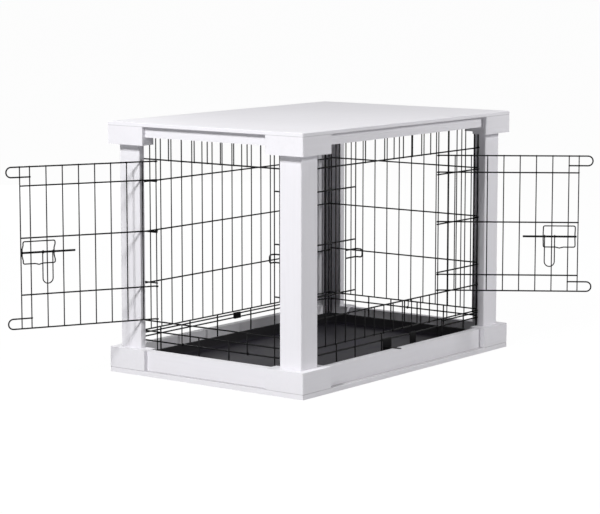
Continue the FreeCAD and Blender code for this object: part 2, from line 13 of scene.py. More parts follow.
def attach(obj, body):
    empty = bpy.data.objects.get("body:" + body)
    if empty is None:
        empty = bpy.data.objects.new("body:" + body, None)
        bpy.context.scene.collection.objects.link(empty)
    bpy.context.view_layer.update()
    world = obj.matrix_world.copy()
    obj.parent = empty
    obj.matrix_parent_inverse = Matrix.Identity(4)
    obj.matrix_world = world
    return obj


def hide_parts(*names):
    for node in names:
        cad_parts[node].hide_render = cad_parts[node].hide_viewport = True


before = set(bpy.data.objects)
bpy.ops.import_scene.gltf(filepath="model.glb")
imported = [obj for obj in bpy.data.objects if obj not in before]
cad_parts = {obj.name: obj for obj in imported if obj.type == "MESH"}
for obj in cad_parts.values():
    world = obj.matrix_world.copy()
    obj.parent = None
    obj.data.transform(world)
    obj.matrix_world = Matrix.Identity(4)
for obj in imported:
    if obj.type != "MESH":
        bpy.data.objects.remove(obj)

log = logging.getLogger("crate_table")

Colour = tuple[float, float, float]
Triple = tuple[float, float, float]
Number = Union[int, float]
MM = 0.001


# --- shader building ---------------------------------------------------------
class Shade:
    """One number that varies over a surface, written with ordinary operators."""

    def __init__(self, graph: "Graph", socket: bpy.types.NodeSocket) -> None:
        """Keep the socket and the graph that it belongs to.

        Args:
            graph: The graph that new Math nodes go into.
            socket: The output socket that carries the number.
        """
        self.graph = graph
        self.socket = socket

    def _math(self, operation: str, first: "Operand", second: "Operand") -> "Shade":
        """Return the result of one Math node.

        Args:
            operation: The Math node's operation.
            first: The first operand.
            second: The second operand.

        Returns:
            The wrapped result.
        """
        node = self.graph.node("ShaderNodeMath", {"operation": operation}, {0: first, 1: second})
        return Shade(self.graph, node.outputs[0])

    def __add__(self, other: "Operand") -> "Shade":
        """Return self + other."""
        return self._math("ADD", self, other)

    def __radd__(self, other: "Operand") -> "Shade":
        """Return other + self."""
        return self._math("ADD", other, self)

    def __sub__(self, other: "Operand") -> "Shade":
        """Return self - other."""
        return self._math("SUBTRACT", self, other)

    def __rsub__(self, other: "Operand") -> "Shade":
        """Return other - self."""
        return self._math("SUBTRACT", other, self)

    def __mul__(self, other: "Operand") -> "Shade":
        """Return self * other."""
        return self._math("MULTIPLY", self, other)

    def __rmul__(self, other: "Operand") -> "Shade":
        """Return other * self."""
        return self._math("MULTIPLY", other, self)

    def at_most(self, other: "Operand") -> "Shade":
        """Return the smaller of self and other."""
        return self._math("MINIMUM", self, other)

    def at_least(self, other: "Operand") -> "Shade":
        """Return the larger of self and other."""
        return self._math("MAXIMUM", self, other)

    def within(self) -> "Shade":
        """Return self held between 0 and 1."""
        return self.at_least(0.0).at_most(1.0)


Operand = Union[Shade, Number]


class Graph:
    """The nodes of one material or of the world."""

    def __init__(self, tree: bpy.types.NodeTree) -> None:
        """Start with an empty tree.

        Args:
            tree: The node tree to fill.
        """
        tree.nodes.clear()
        self.tree = tree

    def node(self, kind: str, settings: Optional[dict[str, Any]] = None,
             inputs: Optional[dict[Union[int, str], Any]] = None) -> bpy.types.Node:
        """Add one node.

        Args:
            kind: The node's type.
            settings: Its properties; "stops" holds a ramp's positions and colours.
            inputs: A value, a Shade or an output socket for each named or numbered input.

        Returns:
            The new node.
        """
        made = self.tree.nodes.new(kind)
        for name, value in (settings or {}).items():
            if name == "stops":
                self._fill_ramp(made.color_ramp, value)
            else:
                setattr(made, name, value)
        for name, value in (inputs or {}).items():
            if isinstance(value, Shade):
                self.tree.links.new(value.socket, made.inputs[name])
            elif isinstance(value, bpy.types.NodeSocket):
                self.tree.links.new(value, made.inputs[name])
            else:
                made.inputs[name].default_value = value
        return made

    @staticmethod
    def _fill_ramp(ramp: bpy.types.ColorRamp, stops: tuple[tuple[float, float], ...]) -> None:
        """Give a colour ramp its grey stops.

        Args:
            ramp: The ramp, with its two first elements.
            stops: A position and a grey value for each stop.
        """
        while len(ramp.elements) < len(stops):
            ramp.elements.new(0.5)
        for element, (place, grey) in zip(ramp.elements, stops):
            element.position = place
            element.color = (grey, grey, grey, 1.0)

    def shade(self, kind: str, settings: Optional[dict[str, Any]] = None,
              inputs: Optional[dict[Union[int, str], Any]] = None,
              output: Union[int, str] = 0) -> Shade:
        """Add one node and wrap one of its outputs.

        Args:
            kind: The node's type.
            settings: Its properties.
            inputs: Its input values or links.
            output: The name or number of the output to wrap.

        Returns:
            The wrapped output.
        """
        return Shade(self, self.node(kind, settings, inputs).outputs[output])

    def place(self, scale: Triple = (1.0, 1.0, 1.0)) -> bpy.types.NodeSocket:
        """Return the place on the object in metres, stretched along each axis.

        Args:
            scale: The factor for each axis.

        Returns:
            The vector's socket.
        """
        where = self.node("ShaderNodeTexCoord").outputs["Object"]
        return self.node("ShaderNodeVectorMath", {"operation": "MULTIPLY"},
                         {0: where, 1: scale}).outputs[0]

    def noise(self, scale: float, detail: float = 2.0, stretch: Triple = (1.0, 1.0, 1.0)) -> Shade:
        """Return cloudy noise between 0 and 1.

        Args:
            scale: How many clouds there are to a metre.
            detail: How many finer layers are added.
            stretch: A factor for each axis.

        Returns:
            The wrapped noise.
        """
        inputs = {"Vector": self.place(stretch), "Scale": scale, "Detail": detail}
        return self.shade("ShaderNodeTexNoise", {}, inputs, "Fac")

    def height_above(self) -> Shade:
        """Return the height above the floor in metres."""
        return self.shade("ShaderNodeSeparateXYZ", {}, {0: self.place()}, "Z")

    def blend(self, factor: Operand, first: Any, second: Any) -> bpy.types.NodeSocket:
        """Return a colour between two colours.

        Args:
            factor: 0 for the first colour and 1 for the second.
            first: A colour or a colour socket.
            second: A colour or a colour socket.

        Returns:
            The colour's socket.
        """
        wanted = {0: factor, 6: self._opaque(first), 7: self._opaque(second)}
        return self.node("ShaderNodeMix", {"data_type": "RGBA"}, wanted).outputs[2]

    @staticmethod
    def _opaque(colour: Any) -> Any:
        """Return a colour with its alpha, or the socket as it is."""
        return colour if isinstance(colour, bpy.types.NodeSocket) else (*colour, 1.0)

    def bump(self, height: Shade, distance: float, strength: float = 1.0) -> bpy.types.NodeSocket:
        """Return a normal that follows a height.

        Args:
            height: The height between 0 and 1.
            distance: The height in metres that 1 stands for.
            strength: How much of it is used.

        Returns:
            The normal's socket.
        """
        wanted = {"Height": height, "Distance": distance, "Strength": strength}
        return self.node("ShaderNodeBump", {}, wanted).outputs["Normal"]

    def surface(self, inputs: dict[str, Any]) -> None:
        """Finish the material with a principled surface.

        Args:
            inputs: The values and links of the shader's sockets.
        """
        shader = self.node("ShaderNodeBsdfPrincipled", {}, inputs)
        self.node("ShaderNodeOutputMaterial", {}, {"Surface": shader.outputs[0]})


# --- finishes ----------------------------------------------------------------
class Run(Enum):
    """The way a board's length runs, as a stretch for its brush marks."""

    ALONG_X = (0.06, 1.0, 1.0)
    ALONG_Y = (1.0, 0.06, 1.0)
    UPRIGHT = (1.0, 1.0, 0.06)


@dataclass(frozen=True)
class PaintedBoard:
    """Satin white paint on smooth board, with faint brush marks, darker and rougher in blotches towards the
    floor, and painted shadow lines at the seams.
    """

    run: Run
    colour: Colour = (0.80, 0.79, 0.825)
    thin_colour: Colour = (0.755, 0.745, 0.775)
    thin_start: float = 0.42
    thin_contrast: float = 2.2
    cloud_scale: float = 3.5
    mark_scale: float = 140.0
    peel_scale: float = 420.0
    # Darker and rougher in blotches towards the floor, fading out over the lowest few centimetres.
    bottom_colour: Colour = (0.66, 0.64, 0.64)
    bottom_height: float = 0.05
    bottom_scale: float = 22.0
    bottom_share: float = 0.35
    bottom_roughness: float = 0.4
    roughness: float = 0.56
    roughness_swing: float = 0.10
    gloss: float = 0.18
    # Painted shadow: a thin dark line at each seam level, standing in for the shade in the gap between
    # boards.
    seam_shadow_colour: Colour = (0.40, 0.39, 0.41)
    joints: tuple[float, ...] = ()
    seam_shadow_half: float = 0.0011
    seam_shadow_share: float = 0.7
    peel_share: float = 0.55
    mark_share: float = 0.45
    relief: float = 0.00012
    relief_strength: float = 0.7

    def build(self) -> bpy.types.Material:
        """Return the material."""
        graph = new_material("painted_board_" + self.run.name.lower())
        clouds = graph.noise(self.cloud_scale, 3.0)
        marks = graph.noise(self.mark_scale, 2.0, self.run.value)
        peel = graph.noise(self.peel_scale, 3.0)
        thin = (clouds * 0.5 + marks * 0.5 - self.thin_start) * self.thin_contrast
        painted = graph.blend(thin.within(), self.colour, self.thin_colour)
        # Darker and rougher in blotches towards the floor.
        low = (1.0 - graph.height_above() * (1.0 / self.bottom_height)).within()
        bottom_mark = low * low * graph.noise(self.bottom_scale, 4.0) * self.bottom_share
        tone = graph.blend(bottom_mark, painted, self.bottom_colour)
        # Painted shadow: darken a thin band at each seam level, for the shade between the top and the blocks
        # and between the base and the rails.
        for level in self.joints:
            rising = (graph.height_above() - (level - self.seam_shadow_half)) * (1.0 / self.seam_shadow_half)
            falling = (level + self.seam_shadow_half - graph.height_above()) * (1.0 / self.seam_shadow_half)
            line = rising.at_most(falling).within()
            tone = graph.blend(line * self.seam_shadow_share, tone, self.seam_shadow_colour)
        height = peel * self.peel_share + marks * self.mark_share
        graph.surface({
            "Base Color": tone,
            "Roughness": self.roughness + (clouds - 0.5) * self.roughness_swing + bottom_mark * self.bottom_roughness,
            "Specular IOR Level": self.gloss,
            "Normal": graph.bump(height, self.relief, self.relief_strength),
        })
        return graph_material(graph)


@dataclass(frozen=True)
class CoatedSteel:
    """Black epoxy coat on steel, dusty on a fine scale, with a low orange peel."""

    name: str
    colour: Colour = (0.0014, 0.0014, 0.0018)
    dusty_colour: Colour = (0.0042, 0.0042, 0.0054)
    dust_scale: float = 26.0
    dust_start: float = 0.45
    dust_contrast: float = 2.5
    dust_share: float = 0.6
    dust_roughness: float = 0.08
    roughness: float = 0.48
    roughness_swing: float = 0.2
    peel_scale: float = 900.0
    gloss: float = 0.12
    relief: float = 0.00008
    relief_strength: float = 0.6

    def build(self) -> bpy.types.Material:
        """Return the material."""
        graph = new_material(self.name)
        dust = (graph.noise(self.dust_scale, 4.0) - self.dust_start) * self.dust_contrast
        peel = graph.noise(self.peel_scale, 2.0)
        tone = graph.blend(dust.within() * self.dust_share, self.colour, self.dusty_colour)
        swing = (peel - 0.5) * self.roughness_swing
        graph.surface({
            "Base Color": tone,
            "Roughness": self.roughness + swing + dust.within() * self.dust_roughness,
            "Specular IOR Level": self.gloss,
            "Normal": graph.bump(peel, self.relief, self.relief_strength),
        })
        return graph_material(graph)


@dataclass(frozen=True)
class GrainedPan:
    """Moulded black plastic with a fine leather grain, scuffs on the floor, and painted light that makes the
    whole floor lighter than the walls.
    """

    colour: Colour = (0.0036, 0.0031, 0.0046)
    # Lighter colour for the scuffs, and for the painted light on the pan's floor.
    scuffed_and_lit_colour: Colour = (0.017, 0.015, 0.024)
    roughness: float = 0.60
    gloss: float = 0.14
    floor_height: float = 0.024
    floor_fade: float = 250.0
    # Painted light: how far the whole floor is lifted towards the lighter colour.
    floor_light_share: float = 0.3
    grain_scale: float = 620.0
    scuff_scale: float = 9.0
    scuff_stretch: Triple = (1.0, 3.0, 1.0)
    scuff_stops: tuple[tuple[float, float], ...] = ((0.52, 0.0), (0.72, 1.0))
    scuff_share: float = 0.7
    scuff_roughness: float = 0.08
    relief: float = 0.00010
    relief_strength: float = 0.5

    def build(self) -> bpy.types.Material:
        """Return the material."""
        graph = new_material("grained_pan")
        cells = graph.shade("ShaderNodeTexVoronoi", {"feature": "SMOOTH_F1"},
                            {"Vector": graph.place(), "Scale": self.grain_scale}, "Distance")
        scuffs = graph.shade("ShaderNodeValToRGB", {"stops": self.scuff_stops},
                             {"Fac": graph.noise(self.scuff_scale, 6.0, self.scuff_stretch)}, "Color")
        # Painted light: the flat floor is lifted towards the lighter colour all over, as it catches light
        # while the walls stay in shade; the scuffs on it are wear.
        level = (graph.height_above() - self.floor_height) * self.floor_fade
        flat = (1.0 - level).within()
        worn_and_lit = scuffs * flat * self.scuff_share + flat * self.floor_light_share
        graph.surface({
            "Base Color": graph.blend(worn_and_lit, self.colour, self.scuffed_and_lit_colour),
            "Roughness": self.roughness + scuffs * self.scuff_roughness,
            "Specular IOR Level": self.gloss,
            "Normal": graph.bump(cells, self.relief, self.relief_strength),
        })
        return graph_material(graph)


@dataclass(frozen=True)
class StudioSweep:
    """White floor that the camera sees as white and that keeps a faint shadow."""

    colour: Colour = (0.55, 0.55, 0.56)
    cloud_scale: float = 1.5
    cloud_shade: float = 0.99
    glow_share: float = 0.94
    glow: float = 1.04

    def build(self) -> bpy.types.Material:
        """Return the material."""
        graph = new_material("studio_sweep")
        shaded = tuple(value * self.cloud_shade for value in self.colour)
        tone = graph.blend(graph.noise(self.cloud_scale, 2.0), self.colour, shaded)
        matte = graph.node("ShaderNodeBsdfDiffuse", {}, {"Color": tone})
        glow = graph.node("ShaderNodeEmission", {},
                          {"Color": (1.0, 1.0, 1.0, 1.0), "Strength": self.glow})
        mixed = graph.node("ShaderNodeMixShader", {}, {
            0: seen_ray(graph) * self.glow_share, 1: matte.outputs[0], 2: glow.outputs[0]})
        graph.node("ShaderNodeOutputMaterial", {}, {"Surface": mixed.outputs[0]})
        return graph_material(graph)


def new_material(name: str) -> Graph:
    """Return the graph of a new material.

    Args:
        name: The material's name.

    Returns:
        The empty graph.
    """
    material = bpy.data.materials.new(name)
    material.use_nodes = True
    return Graph(material.node_tree)


def graph_material(graph: Graph) -> bpy.types.Material:
    """Return the material that a graph belongs to.

    Args:
        graph: The filled graph.

    Returns:
        The material.
    """
    return next(m for m in bpy.data.materials if m.node_tree == graph.tree)


def seen_ray(graph: Graph) -> Shade:
    """Return 1 for rays from the camera, a mirror or glass, and 0 for light.

    Args:
        graph: The graph that the Light Path node goes into.

    Returns:
        The wrapped number.
    """
    path = graph.node("ShaderNodeLightPath")
    rays = [Shade(graph, path.outputs[name])
            for name in ("Is Camera Ray", "Is Glossy Ray", "Is Transmission Ray")]
    return rays[0].at_least(rays[1]).at_least(rays[2])


# --- pieces ------------------------------------------------------------------
def dress(nodes: Iterable[str], material: bpy.types.Material) -> None:
    """Give CAD nodes a material.

    Args:
        nodes: The names of the nodes.
        material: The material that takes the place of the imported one.
    """
    for name in nodes:
        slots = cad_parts[name].data.materials
        slots.clear()
        slots.append(material)
        log.info("dressed %s with %s", name, material.name)


def add_piece(name: str, mesh: bmesh.types.BMesh, body: str,
              material: bpy.types.Material) -> bpy.types.Object:
    """Turn a mesh into a piece that rides on a body.

    Args:
        name: The piece's name.
        mesh: The mesh, which is used up.
        body: The body that it moves with.
        material: Its material.

    Returns:
        The new object.
    """
    for face in mesh.faces:
        face.smooth = True
    data = bpy.data.meshes.new(name)
    mesh.to_mesh(data)
    mesh.free()
    data.materials.append(material)
    piece = bpy.data.objects.new(name, data)
    bpy.context.scene.collection.objects.link(piece)
    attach(piece, body)
    log.info("made %s: %d faces, on %s", name, len(data.polygons), body)
    return piece


# --- wire meshes ---------------------------------------------------------------
@dataclass(frozen=True)
class Face:
    """A frame on one side of the crate: u along it, v up it and n out of it."""

    start: Vector
    along: Vector
    rise: Vector
    out: Vector

    def at(self, u: float, n: float, v: float) -> Vector:
        """Return the point at those distances in millimetres.

        Args:
            u: The distance along the side.
            n: The distance out of it.
            v: The distance up it.

        Returns:
            The point.
        """
        return self.start + self.along * u + self.out * n + self.rise * v


@dataclass(frozen=True)
class Strand:
    """One length of round wire through points, in millimetres."""

    points: list[Vector]
    radius: float
    closed: bool = False


@dataclass(frozen=True)
class Ring:
    """The curled end of a wire round another one, in millimetres."""

    centre: Vector
    axis: Vector
    inner: float
    outer: float
    width: float


@dataclass(frozen=True)
class Bar:
    """A wire along a side, from one place to another at a level."""

    start: float
    end: float
    level: float


@dataclass(frozen=True)
class Upright:
    """A wire across a side, from one level to another at a place."""

    place: float
    low: float
    high: float
    radius: float


def bent_path(points: list[Vector], bend: float, closed: bool = False, steps: int = 7) -> list[Vector]:
    """Return the points with every corner rounded.

    Args:
        points: The corners of the path.
        bend: The radius of the bends.
        closed: True if the last point joins the first.
        steps: How many straight steps a bend has.

    Returns:
        The rounded path.
    """
    count = len(points)
    path: list[Vector] = [] if closed else [points[0]]
    for k in range(0 if closed else 1, count if closed else count - 1):
        corner = points[k]
        back = (points[k - 1] - corner).normalized()
        ahead = (points[(k + 1) % count] - corner).normalized()
        half = back.angle(ahead) / 2
        inward = (back + ahead).normalized()
        across = (ahead - back).normalized()
        centre = corner + inward * (bend / math.sin(half))
        reach = math.pi / 2 - half
        for step in range(steps + 1):
            turn = reach * (2 * step / steps - 1)
            point = centre + across * (bend * math.sin(turn)) - inward * (bend * math.cos(turn))
            if not path or (point - path[-1]).length > bend / steps / 4:
                path.append(point)
    return path if closed else path + [points[-1]]


class WireMesh:
    """Collects the tubes, rings and weld beads of one piece of wire work.

    A wire's end is eased over END_EASE of its radius, down to END_SHARE of it.
    """

    FINE_SIDES = 14
    END_EASE = 0.3
    END_SHARE = 0.7
    RING_SIDES = 8
    RING_FLATNESS = 1.25
    UPWARD = 0.9

    def __init__(self, sides: int = 12) -> None:
        """Start empty.

        Args:
            sides: How many sides a tube has.
        """
        self.mesh = bmesh.new()
        self.sides = sides
        self.circle = [2 * math.pi * k / sides for k in range(sides)]

    def _circle(self, centre: Vector, first: Vector, second: Vector, radius: float) -> list[Any]:
        """Return new vertices round a centre.

        Args:
            centre: The middle.
            first: One direction in the circle's plane.
            second: The other direction.
            radius: The radius in millimetres.

        Returns:
            The vertices.
        """
        spokes = [first * math.cos(turn) + second * math.sin(turn) for turn in self.circle]
        return [self.mesh.verts.new((centre + spoke * radius) * MM) for spoke in spokes]

    def _skin(self, low: list[Any], high: list[Any]) -> None:
        """Join two circles of vertices with faces.

        Args:
            low: The first circle.
            high: The second circle.
        """
        for k in range(len(low)):
            self.mesh.faces.new((low[k - 1], low[k], high[k], high[k - 1]))

    def tube(self, strand: Strand) -> None:
        """Add a round wire with eased ends.

        Args:
            strand: Its path and radius.
        """
        points, radius = strand.points, strand.radius
        targets = points[1:] + (points[:1] if strand.closed else [])
        runs = [(target - point).normalized() for point, target in zip(points, targets)]
        first = runs[0].orthogonal().normalized()
        circles = []
        for k, point in enumerate(points):
            before = runs[k - 1] if k or strand.closed else runs[0]
            ahead = runs[min(k, len(runs) - 1)]
            axis = (before + ahead).normalized()
            first = (first - axis * first.dot(axis)).normalized()
            circles.append(self._circle(point, first, axis.cross(first), radius))
        if strand.closed:
            self._close(circles)
            return
        for low, high in zip(circles, circles[1:]):
            self._skin(low, high)
        self._end(circles[0], points[0], -runs[0], radius, True)
        self._end(circles[-1], points[-1], runs[-1], radius, False)

    def _close(self, circles: list[list[Any]]) -> None:
        """Skin a closed wire, matching its last circle to its first.

        Args:
            circles: The circles of vertices along it.
        """
        for low, high in zip(circles, circles[1:]):
            self._skin(low, high)
        last, first = circles[-1], circles[0]
        shift = min(range(len(first)), key=lambda k: (last[0].co - first[k].co).length)
        self._skin(last, first[shift:] + first[:shift])

    def _end(self, circle: list[Any], point: Vector, out: Vector, radius: float, first: bool) -> None:
        """Close a wire's end with an eased rim.

        Args:
            circle: The last circle of vertices.
            point: The middle of the end.
            out: The direction that the end faces.
            radius: The wire's radius.
            first: True at the start of the wire.
        """
        ease = self.END_EASE * radius
        for vertex in circle:
            vertex.co = Vector(vertex.co) - out * (ease * MM)
        middle = point * MM
        rims = [Vector(vertex.co) + out * (ease * MM) - middle for vertex in circle]
        cap = [self.mesh.verts.new(middle + rim * self.END_SHARE) for rim in rims]
        if first:
            self._skin(cap, circle)
            self.mesh.faces.new(cap[::-1])
        else:
            self._skin(circle, cap)
            self.mesh.faces.new(cap)

    def ring(self, ring: Ring) -> None:
        """Add a curled end with a rounded section.

        Args:
            ring: Its place and sizes.
        """
        first = ring.axis.orthogonal().normalized()
        second = ring.axis.cross(first)
        middle, wall = (ring.inner + ring.outer) / 2, (ring.outer - ring.inner) / 2
        circles = []
        for k in range(self.RING_SIDES):
            turn = math.pi * (2 * k + 1) / self.RING_SIDES
            away = middle + wall * max(-1.0, min(1.0, self.RING_FLATNESS * math.cos(turn)))
            lift = ring.width / 2 * max(-1.0, min(1.0, self.RING_FLATNESS * math.sin(turn)))
            circles.append(self._circle(ring.centre + ring.axis * lift, first, second, away))
        for k in range(self.RING_SIDES):
            self._skin(circles[k], circles[k - 1])

    def bead(self, centre: Vector, out: Vector, size: Triple) -> None:
        """Add the flash bead that a spot weld leaves between two wires.

        Args:
            centre: Its middle.
            out: The direction from one wire to the other.
            size: Its width, height and thickness.
        """
        up = Vector((0.0, 1.0, 0.0)) if abs(out.z) > self.UPWARD else Vector((0.0, 0.0, 1.0))
        across = up.cross(out).normalized()
        turn = Matrix((across, up, out)).transposed().to_4x4()
        half = Matrix.Diagonal((*[value / 2 * MM for value in size], 1.0))
        bmesh.ops.create_icosphere(self.mesh, subdivisions=1, radius=1.0,
                                   matrix=Matrix.Translation(centre * MM) @ turn @ half)


@dataclass
class WireWork:
    """A welded panel or door: bars on the inner side, uprights outside them."""

    name: str
    node: str
    body: str
    face: Face
    bars: list[Bar]
    uprights: list[Upright]
    layer: float = 0.0
    step: float = 3.16
    bar_radius: float = 1.8
    strands: list[Strand] = field(default_factory=list)
    rings: list[Ring] = field(default_factory=list)
    welded_only: list[Bar] = field(default_factory=list)
    bead_size: Triple = (4.4, 4.0, 1.9)
    bead_sink: float = 0.15
    reach: float = 1.0
    stout_above: float = 1.5
    stout_lift: float = 0.4

    def build(self, steel: bpy.types.Material) -> None:
        """Make the piece and let it stand for its node.

        Args:
            steel: The wire's material.
        """
        work = WireMesh()
        level_layer = self.layer - self.step
        for bar in self.bars:
            work.tube(Strand([self.face.at(bar.start, level_layer, bar.level),
                              self.face.at(bar.end, level_layer, bar.level)], self.bar_radius))
        for wire in self.uprights:
            stout = wire.radius > self.stout_above and self.body == "table"
            layer = self.layer + (self.stout_lift if stout else 0.0)
            work.tube(Strand([self.face.at(wire.place, layer, wire.low),
                              self.face.at(wire.place, layer, wire.high)], wire.radius))
        for strand in self.strands:
            work.tube(strand)
        for ring in self.rings:
            work.ring(ring)
        for centre in self._crossings(level_layer):
            work.bead(centre, self.face.out, self.bead_size)
        piece = add_piece(self.name, work.mesh, self.body, steel)
        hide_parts(self.node)

    def _crossings(self, level_layer: float) -> Iterable[Vector]:
        """Give the middle of every weld.

        Args:
            level_layer: How far out the bars lie.

        Yields:
            The place between the two wires.
        """
        middle = level_layer + self.bar_radius - self.bead_sink
        for bar in self.bars + self.welded_only:
            for wire in self.uprights:
                along = bar.start - self.reach <= wire.place <= bar.end + self.reach
                if along and wire.low - self.reach <= bar.level <= wire.high + self.reach:
                    yield self.face.at(wire.place, middle, bar.level)


@dataclass
class WoodenTable:
    """The top, base, posts, corner blocks and rails."""

    corners: tuple[str, ...] = ("front_left", "front_right", "back_left", "back_right")
    # Heights in metres of the painted shadow lines, under the top panel and over the base panel.
    joints: tuple[float, ...] = (0.601, 0.012)

    def build(self) -> None:
        """Dress every board by the way its length runs."""
        long_boards = ["top_panel", "base_panel", "top_rail_front", "top_rail_back",
                       "bottom_rail_front", "bottom_rail_back"]
        deep_boards = ["top_rail_left", "top_rail_right", "bottom_rail_left", "bottom_rail_right"]
        long_boards += [row + corner for corner in self.corners
                        for row in ("top_block_", "bottom_block_")]
        dress(long_boards, PaintedBoard(Run.ALONG_X, joints=self.joints).build())
        dress(deep_boards, PaintedBoard(Run.ALONG_Y, joints=self.joints).build())
        dress(["post_" + corner for corner in self.corners], PaintedBoard(Run.UPRIGHT).build())


@dataclass(frozen=True)
class Doorway:
    """What bounds a doorway: its latch and hinge jambs, by number, and its levels."""

    jambs: tuple[int, int]
    head: float
    sill: float
    guard: float
    strips: tuple[float, ...]


@dataclass
class WireCrate:
    """The welded sides, roof and floor of the crate, the pan and the small plates."""

    steel: bpy.types.Material
    length: float = 768.0
    width: float = 479.0
    top: float = 582.0
    floor: float = 14.0
    stout: float = 1.8
    thin: float = 1.4
    corner: float = 7.0
    pitch: float = 39.5
    step: float = 3.16
    curl: float = 2.0
    front_margin: float = 28.5
    front_doorway: Doorway = Doorway((5, 14), 516.5, 163.5, 96.0, (462.0, 337.5, 215.9))
    front_low: float = 78.0
    front_feet: tuple[float, ...] = (150.4, 335.0, 597.0, 696.4)
    short_bar: tuple[float, float] = (165.0, 90.5)
    hinge_shift: float = -3.5
    end_margin: float = 27.5
    end_pitch: float = 39.95
    end_doorway: Doorway = Doorway((1, 10), 519.0, 125.5, 100.0, (466.2, 343.2, 220.0))
    end_low: float = 77.0
    end_feet: tuple[float, ...] = (204.0, 296.0)
    end_hangers: tuple[float, ...] = (149.0, 349.0)
    guard: float = 100.0
    back_margin: float = 37.5
    back_levels: tuple[float, ...] = (462.0, 341.0, 215.0)
    back_low: tuple[float, ...] = (93.4, 84.0)
    back_feet: tuple[float, ...] = (73.5, 185.0, 293.0, 429.0, 575.0, 683.0)
    far_margin: float = 17.0
    far_pitch: float = 38.9
    far_levels: tuple[float, ...] = (465.0, 341.0, 221.0)
    far_low: float = 83.0
    far_feet: tuple[float, ...] = (108.0, 191.0, 231.0, 275.0, 347.0)
    far_hangers: tuple[float, ...] = (219.0,)
    grid_gap: float = 0.5
    grid_spans: int = 3
    weld_sink: float = 0.04

    def build(self) -> None:
        """Make the wire work and dress what stays as it is."""
        for work in (self._front(), self._end(), self._back(), self._far(), self._roof(), self._floor()):
            work.build(self.steel)
        plates = CoatedSteel("coated_sheet", colour=(0.0016, 0.0016, 0.0019),
                             dusty_colour=(0.0045, 0.0045, 0.0055), roughness=0.50,
                             peel_scale=600.0, gloss=0.08)
        dress(["tray_clip", "tray_latch", "back_clip"], plates.build())
        dress(["tray"], GrainedPan().build())

    def side(self, x: int, y: int) -> Face:
        """Return the frame of the side that faces one way.

        Args:
            x: -1 or 1 for an end, and 0 for a long side.
            y: -1 or 1 for a long side, and 0 for an end.

        Returns:
            The side's frame.
        """
        start = Vector((self.length / 2 * (x or -1), self.width / 2 * (y or -1), 0.0))
        along = Vector((0.0, 1.0, 0.0)) if x else Vector((1.0, 0.0, 0.0))
        return Face(start, along, Vector((0.0, 0.0, 1.0)), Vector((float(x), float(y), 0.0)))

    def fills(self, margin: float, last: float, pitch: float) -> list[float]:
        """Return where the thin uprights of a side stand.

        Args:
            margin: The first one's place.
            last: The last corner wire's place.
            pitch: The step from one to the next.

        Returns:
            Their places.
        """
        count = int((last - 2 * self.stout - margin) / pitch) + 1
        return [margin + pitch * k for k in range(count)]

    def _frame(self, first: float, last: float, levels: Iterable[float],
               feet: Iterable[float], guard: float) -> tuple[list[Bar], list[Upright]]:
        """Return the full-length bars, the corner wires and the feet of a side.

        Args:
            first: The first corner wire's place.
            last: The last corner wire's place.
            levels: The levels of the full-length bars.
            feet: The places of the stout feet.
            guard: The level that the feet reach.

        Returns:
            The bars and the uprights.
        """
        bars = [Bar(first, last, level) for level in (self.top, self.floor, *levels)]
        uprights = [Upright(u, self.floor, self.top + self.stout, self.stout) for u in (first, last)]
        uprights += [Upright(u, self.floor, guard, self.stout) for u in feet]
        return bars, uprights

    def _thin(self, places: Iterable[float], low: float, high: float) -> list[Upright]:
        """Return thin uprights from one level to another.

        Args:
            places: Where they stand.
            low: The level of their lower bar.
            high: The level of their upper bar.

        Returns:
            The uprights, with their ends just past the bars.
        """
        return [Upright(u, low - self.stout, high + self.stout, self.thin) for u in places]

    def _beside(self, places: list[float], doorway: Doorway,
                ends: tuple[float, float]) -> tuple[list[Bar], list[Upright]]:
        """Return what lies beside and above a doorway.

        Args:
            places: The thin uprights' places.
            doorway: Its jambs and levels.
            ends: The corner wires' places.

        Returns:
            The bars and the uprights.
        """
        latch, hinge = doorway.jambs
        bars = [Bar(ends[0], places[latch], level) for level in doorway.strips]
        bars += [Bar(places[hinge], ends[1], level) for level in doorway.strips]
        uprights = [Upright(places[k], self.floor, self.top + self.stout, self.thin)
                    for k in doorway.jambs]
        uprights += self._thin(places[latch + 1:hinge], doorway.head, self.top)
        uprights += self._thin(places[:latch] + places[hinge + 1:], doorway.guard, self.top)
        return bars, uprights

    def _hangers(self, side: Face, places: Iterable[float], low: float,
                 high: float) -> tuple[list[Upright], list[Ring]]:
        """Return short uprights that curl round a bar at their foot.

        Args:
            side: The side's frame.
            places: Where they stand.
            low: The level of the bar that they curl round.
            high: The level that they hang from.

        Returns:
            The uprights and their curls.
        """
        uprights = [Upright(u, low, high + self.stout, self.thin) for u in places]
        rings = [Ring(side.at(u, -self.step, low), side.along, self.stout, self.stout + self.curl,
                      2 * self.thin) for u in places]
        return uprights, rings

    def _front(self) -> WireWork:
        """Return the long side with a doorway."""
        side, doorway = self.side(0, -1), self.front_doorway
        latch, hinge = doorway.jambs
        places = self.fills(self.front_margin, self.length, self.pitch)
        places[hinge] += self.hinge_shift
        levels = (doorway.head, doorway.sill, doorway.guard, self.front_low)
        bars, uprights = self._frame(0.0, self.length, levels, self.front_feet, doorway.guard)
        near = self._beside(places, doorway, (0.0, self.length))
        reach, level = self.short_bar
        bars += near[0] + [Bar(self.length - reach, self.length, level)]
        uprights += near[1] + self._thin(places[latch + 1:hinge], doorway.guard, doorway.sill)
        return WireWork("front_wires", "front_wire_panel", "table", side, bars, uprights)

